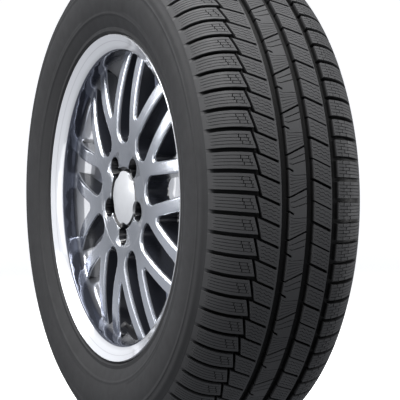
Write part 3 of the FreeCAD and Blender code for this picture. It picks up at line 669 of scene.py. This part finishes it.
class NodeTree:
    """Short calls for a material's nodes: each makes one node, sets its inputs and gives one output."""

    def __init__(self, name):
        self.material = bpy.data.materials.new(name)
        self.material.use_nodes = True
        self.nodes = self.material.node_tree.nodes
        self.links = self.material.node_tree.links
        self.shader = self.nodes["Principled BSDF"]

    def put(self, socket, value):
        """A number or colour set on a socket, or a link from another node's output."""
        if isinstance(value, bpy.types.NodeSocket):
            self.links.new(value, socket)
        else:
            socket.default_value = value

    def make(self, kind, inputs=(), out=0, **values):
        """A node of a kind, its properties and its inputs by name or number."""
        node = self.nodes.new(kind)
        for key, value in values.items():
            setattr(node, key, value)
        for key, value in dict(inputs).items():
            self.put(node.inputs[key], value)
        return node.outputs[out]

    def place(self):
        """Object coordinates."""
        return self.make("ShaderNodeTexCoord", out="Object")

    def noise(self, scale, detail=4.0):
        """Noise on Object coordinates, from 0 to 1."""
        return self.make(
            "ShaderNodeTexNoise",
            {"Vector": self.place(), "Scale": scale, "Detail": detail, "Roughness": 0.55},
            "Fac",
        )

    def math(self, operation, a, b=0.0, clamp=False):
        """Arithmetic on two numbers."""
        return self.make("ShaderNodeMath", {0: a, 1: b}, operation=operation, use_clamp=clamp)

    def spread(self, value, lo, hi, to_lo=0.0, to_hi=1.0):
        """A number carried from one range to another."""
        return self.make(
            "ShaderNodeMapRange",
            {"Value": value, "From Min": lo, "From Max": hi, "To Min": to_lo, "To Max": to_hi},
        )

    def uneven(self, scale, low, high):
        """A number that wanders between two values with a noise."""
        return self.spread(self.noise(scale), 0.3, 0.7, low, high)

    def choose(self, share, a, b):
        """Two numbers mixed by a share."""
        return self.make("ShaderNodeMix", {0: share, 2: a, 3: b}, data_type="FLOAT")

    def blend(self, share, a, b):
        """Two colours mixed by a share."""
        return self.make("ShaderNodeMix", {0: share, 6: a, 7: b}, 2, data_type="RGBA")

    def bump(self, height, strength, distance):
        """Fine relief from a height."""
        return self.make("ShaderNodeBump", {"Height": height, "Strength": strength, "Distance": distance})

    def finish(self, **sockets):
        """Sets the shader's sockets, with spaces for underscores, and gives the material."""
        for key, value in sockets.items():
            self.put(self.shader.inputs[key.replace("_", " ")], value)
        return self.material


def tinted(colour, share):
    """A colour made lighter or darker by a share, with alpha."""
    return (*[min(1.0, c * share) for c in colour], 1.0)


def rubber(name, colour, tread):
    """Moulded black rubber: a soft mottle, a fine grain, and on the tread painted shade on the floors of its
    grooves.
    """
    t = NodeTree(name)
    mottle = t.noise(14.0, 6.0)
    shade = t.blend(mottle, tinted(colour, 0.82), tinted(colour, 1.2))
    if tread:
        # Painted shade: the deeper a point lies in a groove or cut, the darker, down to near black on the
        # floors.
        share = t.make("ShaderNodeAttribute", out="Fac", attribute_name="depth_share")
        shade = t.blend(t.spread(share, 0.08, 0.5), shade, tinted(colour, 0.08))
    rough = t.uneven(60.0, 0.52, 0.68)
    grain = t.bump(t.noise(1400.0, 3.0), 0.18, 0.0004)
    return t.finish(Base_Color=shade, Roughness=rough, Normal=grain, Specular_IOR_Level=0.2)


def axle_coordinates(t):
    """Place along the axle, and distance from it: the root of X squared plus Z squared."""
    axes = t.make("ShaderNodeSeparateXYZ", {0: t.place()}).node.outputs
    squares = [t.math("MULTIPLY", axes[name], axes[name]) for name in "XZ"]
    return axes["Y"], t.math("SQRT", t.math("ADD", *squares))


def spoke_finish(settings):
    """Bright turned faces over dark painted windows, bolt pockets darker still with painted shade, and a
    fine flake under the coat.

    The spokes' front falls back with the square of the distance from its crest. A point's depth under it, or
    under the flat hub, says whether the point is on the bright face and its rounded edge or on a painted
    wall. On the hub the dark starts almost at the front, so the bolt pockets' rounded rims get painted shade
    as well. The face gets brighter towards the spokes' ends.
    """
    t = NodeTree("turned_spokes")
    along, radius = axle_coordinates(t)
    out = t.math("SUBTRACT", radius, SPOKE_CREST)
    fall = t.math("MULTIPLY", t.math("MULTIPLY", out, out), 1 / (2 * SPOKE_ARC))
    hub = t.math("LESS_THAN", radius, HUB_RADIUS)
    front = t.choose(hub, t.math("ADD", fall, SPOKE_FRONT), HUB_FRONT)
    depth = t.math("SUBTRACT", along, front)
    # On the hub the dark starts almost at the front, as painted shade over the pockets' rims.
    past_edge = t.math("SUBTRACT", depth, t.choose(hub, *PAINT_AND_SHADE_DEPTH))
    dark_paint_and_shade = t.math("MULTIPLY", past_edge, t.choose(hub, *PAINT_AND_SHADE_SLOPE), True)
    ends = t.spread(radius, *SPOKE_ENDS)
    face = t.blend(ends, tinted(settings.alloy, 0.96), tinted(settings.alloy, 1.45))
    # Painted shade: the hub's bolt pockets take a quarter of the window paint's colour.
    paint_and_pocket_shade = t.blend(hub, tinted(settings.barrel, 0.85), tinted(settings.barrel, 0.25))
    return t.finish(
        Base_Color=t.blend(dark_paint_and_shade, face, paint_and_pocket_shade),
        Metallic=t.spread(dark_paint_and_shade, 0.0, 1.0, 1.0, 0.1),
        Roughness=t.uneven(45.0, settings.roughness - 0.03, settings.roughness + 0.03),
        Coat_Weight=0.3,
        Coat_Roughness=0.06,
        Normal=t.bump(t.noise(2600.0, 2.0), 0.015, 0.0001),
    )


def barrel_finish(settings):
    """Polished lip with painted shade at its inner edge and in a thin ring at the flange's step, over a
    barrel of painted shadow and painted highlight in turn.

    Behind the lip come a band of painted shadow, a bright wall of painted highlight that darkens with depth
    as painted shade, and a pale inboard end. Each is a range of radius or of place along the axle.
    """
    t = NodeTree("polished_barrel")
    along, radius = axle_coordinates(t)
    inside = t.spread(radius, *LIP_INSIDE)
    # Painted shade towards the lip's inner edge.
    edge_shade = t.spread(radius, *LIP_EDGE_SHADE, 1.0, 0.0)
    # Painted shade in a thin ring where the flange steps.
    off_step_shade = t.math("ABSOLUTE", t.math("SUBTRACT", radius, LIP_STEP_SHADE))
    lip = t.blend(edge_shade, tinted(settings.lip, 1.0), tinted(settings.lip, 0.75))
    lip = t.blend(t.math("MULTIPLY", off_step_shade, 1 / LIP_STEP_SHADE_HALF, True), tinted(settings.lip, 0.7), lip)
    end = t.spread(along, *INBOARD_END)
    metal = t.spread(inside, 0.0, 1.0, 0.45, 0.7)
    # Painted shadow just behind the lip, then a painted highlight on the wall.
    painted_barrel_light = t.blend(t.spread(along, *UNDER_LIP_SHADOW), tinted(settings.barrel, 4.0), tinted(settings.lip, 0.8))
    # Painted shade deeper in the barrel.
    painted_barrel_light = t.blend(t.spread(along, *DEEP_WALL_SHADE), painted_barrel_light, tinted(settings.barrel, 13.0))
    return t.finish(
        Base_Color=t.blend(end, t.blend(inside, lip, painted_barrel_light), tinted(settings.lip, 1.0)),
        Metallic=t.math("SUBTRACT", metal, t.math("MULTIPLY", end, 0.8), True),
        Roughness=t.uneven(45.0, 0.09, 0.13),
        Coat_Weight=0.3,
        Coat_Roughness=0.04,
    )


def polished(name, colour, roughness, metallic, grain):
    """A plain moulded or plated finish with a soft unevenness."""
    t = NodeTree(name)
    shade = t.blend(t.noise(90.0), tinted(colour, 0.93), tinted(colour, 1.05))
    rough = t.uneven(120.0, roughness * 0.85, roughness * 1.15)
    return t.finish(
        Base_Color=shade, Metallic=metallic, Roughness=rough, Normal=t.bump(t.noise(900.0), grain, 0.0002)
    )


def smooth_copy(node, name, material):
    """A merged copy of a CAD node's mesh, shaded as one across faces that meet at a small angle."""
    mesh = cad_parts[node].data.copy()
    mesh.name = name
    bm = bmesh.new()
    bm.from_mesh(mesh)
    bmesh.ops.remove_doubles(bm, verts=bm.verts, dist=MERGE)
    bm.to_mesh(mesh)
    bm.free()
    mesh.shade_smooth()
    mesh.set_sharp_from_angle(angle=SOLID_ANGLE)
    mesh.materials.clear()
    mesh.materials.append(material)
    piece = bpy.data.objects.new(name, mesh)
    bpy.context.scene.collection.objects.link(piece)
    even = piece.modifiers.new("even_shading", "WEIGHTED_NORMAL")
    even.keep_sharp = True
    even.weight = FACE_WEIGHT
    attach(piece, BODY)
    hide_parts(node)
    return piece


class TYRE_OT_tread(bpy.types.Operator):
    """Makes the patterned tread band."""

    bl_idname = "tyre.tread"
    bl_label = "Tread band"

    def execute(self, context):
        s = context.scene.winter_tyre
        tread_band(s, rubber("tread_rubber", s.tread_colour, True))
        return {"FINISHED"}


class TYRE_OT_casing(bpy.types.Operator):
    """Makes the sidewalls, beads and liner."""

    bl_idname = "tyre.casing"
    bl_label = "Casing"

    def execute(self, context):
        s = context.scene.winter_tyre
        casing(s, rubber("sidewall_rubber", s.side_colour, False))
        return {"FINISHED"}


class TYRE_OT_wheel(bpy.types.Operator):
    """Gives the spokes and the barrel their turned, painted and polished finishes, with painted shade and
    highlight.
    """

    bl_idname = "tyre.wheel"
    bl_label = "Alloy wheel"

    def execute(self, context):
        s = context.scene.winter_wheel
        smooth_copy("wheel_spokes", "spoke_casting", spoke_finish(s))
        smooth_copy("wheel_barrel", "rim_barrel", barrel_finish(s))
        return {"FINISHED"}


class TYRE_OT_small_parts(bpy.types.Operator):
    """Gives the centre cap and the valve their finishes."""

    bl_idname = "tyre.small_parts"
    bl_label = "Cap and valve"

    def execute(self, context):
        silver = polished("cap_silver", CAP_COLOUR, 0.22, 0.35, 0.05)
        smooth_copy("centre_cap", "hub_cap", silver)
        for node, name, colour, rough, metal in VALVE_FINISHES:
            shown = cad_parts[node]
            shown.data.materials.clear()
            shown.data.materials.append(polished(name, colour, rough, metal, 0.1))
        return {"FINISHED"}


class TYRE_OT_stage(bpy.types.Operator):
    """Makes the floor with its sweep, the soft lights and the camera."""

    bl_idname = "tyre.stage"
    bl_label = "Stage"

    def execute(self, context):
        s = context.scene.winter_stage
        context.scene.view_settings.view_transform = "Standard"
        floor_sweep(s)
        studio_lights()
        studio_camera(s)
        return {"FINISHED"}


def floor_sweep(settings):
    """A pale round floor that turns up into a wall: a flat, a quarter arc and a wall, spun round.

    It is seen by the camera alone, so it neither lights nor shades the part.
    """
    low = CAD_BOX[0][2]
    turn = np.linspace(0, math.pi / 2, 24)
    r = np.r_[0.02, 2.0, 4.0, FLOOR_REACH + FLOOR_BEND * np.sin(turn), FLOOR_REACH + FLOOR_BEND]
    z = np.r_[low, low, low, low + FLOOR_BEND * (1 - np.cos(turn)), low + FLOOR_BEND + WALL_HEIGHT]
    angle = np.linspace(0, 2 * math.pi, FLOOR_SIDES, endpoint=False)
    points = np.stack(
        [r[:, None] * np.cos(angle), r[:, None] * np.sin(angle), z[:, None] + 0 * angle[None, :]], axis=-1
    )
    i, j = np.meshgrid(np.arange(len(r) - 1), np.arange(FLOOR_SIDES), indexing="ij")
    k = (j + 1) % FLOOR_SIDES
    here = i * FLOOR_SIDES
    there = here + FLOOR_SIDES
    faces = np.stack([here + j, there + j, there + k, here + k], axis=-1).reshape(-1, 4)
    faces = faces.tolist() + [list(range(FLOOR_SIDES))[::-1]]
    mesh = bpy.data.meshes.new("floor_sweep")
    mesh.from_pydata(points.reshape(-1, 3).tolist(), [], faces)
    mesh.shade_smooth()
    t = NodeTree("pale_floor")
    shade = t.blend(t.noise(0.7, 2.0), tinted(settings.floor, 0.985), tinted(settings.floor, 1.0))
    white = (1.0, 1.0, 1.0, 1.0)
    mesh.materials.append(
        t.finish(Base_Color=shade, Roughness=0.75, Emission_Color=white, Emission_Strength=FLOOR_GLOW)
    )
    floor = bpy.data.objects.new("floor_sweep", mesh)
    floor.visible_diffuse = False
    floor.visible_glossy = False
    floor.visible_shadow = False
    bpy.context.scene.collection.objects.link(floor)


def soft_light(name, place, aim, size, power):
    """A rectangular soft light at a place, turned to an aim."""
    lamp = bpy.data.lights.new(name, "AREA")
    lamp.shape = "RECTANGLE"
    lamp.size, lamp.size_y = size
    lamp.energy = power
    light = bpy.data.objects.new(name, lamp)
    light.location = place
    light.rotation_euler = (Vector(aim) - Vector(place)).to_track_quat("-Z", "Y").to_euler()
    bpy.context.scene.collection.objects.link(light)


def studio_lights():
    """The soft lights, in a pale surround."""
    world = bpy.data.worlds.new("pale_surround")
    bpy.context.scene.world = world
    world.use_nodes = True
    background = world.node_tree.nodes["Background"]
    background.inputs["Color"].default_value = SURROUND
    background.inputs["Strength"].default_value = SURROUND_STRENGTH
    for light in LIGHTS:
        soft_light(*light)


def studio_camera(settings):
    """The camera at its azimuth, elevation, roll and distance, aimed right of the middle and below it."""
    a = settings.azimuth
    e = settings.elevation
    roll = settings.roll
    back = Vector((math.sin(a) * math.cos(e), -math.cos(a) * math.cos(e), math.sin(e)))
    right = Vector((math.cos(a), math.sin(a), 0))
    up = back.cross(right)
    across = right * math.cos(roll) + up * math.sin(roll)
    upright = up * math.cos(roll) - right * math.sin(roll)
    place = back * settings.distance
    target = across * AIM_RIGHT - upright * AIM_DOWN
    z = (place - target).normalized()
    x = (across - z * across.dot(z)).normalized()
    y = z.cross(x)
    lens = bpy.data.cameras.new("studio_camera")
    lens.lens = settings.lens
    lens.sensor_width = SENSOR
    camera = bpy.data.objects.new("studio_camera", lens)
    camera.matrix_world = Matrix.Translation(place) @ Matrix((x, y, z)).transposed().to_4x4()
    bpy.context.scene.collection.objects.link(camera)
    bpy.context.scene.camera = camera


class TYRE_PT_parts(bpy.types.Panel):
    """Lists the pieces and their settings."""

    bl_idname = "TYRE_PT_parts"
    bl_label = "Winter tyre"
    bl_space_type = "VIEW_3D"
    bl_region_type = "UI"
    bl_category = "Winter tyre"

    def draw(self, context):
        for operator in OPERATORS:
            self.layout.operator(operator.bl_idname)
        for name in SETTINGS:
            group = getattr(context.scene, name)
            for key in group.__annotations__:
                self.layout.prop(group, key)


OPERATORS = (TYRE_OT_tread, TYRE_OT_casing, TYRE_OT_wheel, TYRE_OT_small_parts, TYRE_OT_stage)
SETTINGS = {"winter_tyre": TyreSettings, "winter_wheel": WheelSettings, "winter_stage": StageSettings}


def register():
    for group in (*SETTINGS.values(), *OPERATORS, TYRE_PT_parts):
        bpy.utils.register_class(group)
    for name, group in SETTINGS.items():
        setattr(bpy.types.Scene, name, PointerProperty(type=group))


def unregister():
    for name in SETTINGS:
        delattr(bpy.types.Scene, name)
    for group in (TYRE_PT_parts, *OPERATORS[::-1], *SETTINGS.values()):
        bpy.utils.unregister_class(group)


def main():
    register()
    bpy.ops.tyre.tread()
    bpy.ops.tyre.casing()
    bpy.ops.tyre.wheel()
    bpy.ops.tyre.small_parts()
    bpy.ops.tyre.stage()


if __name__ == "__main__":
    main()
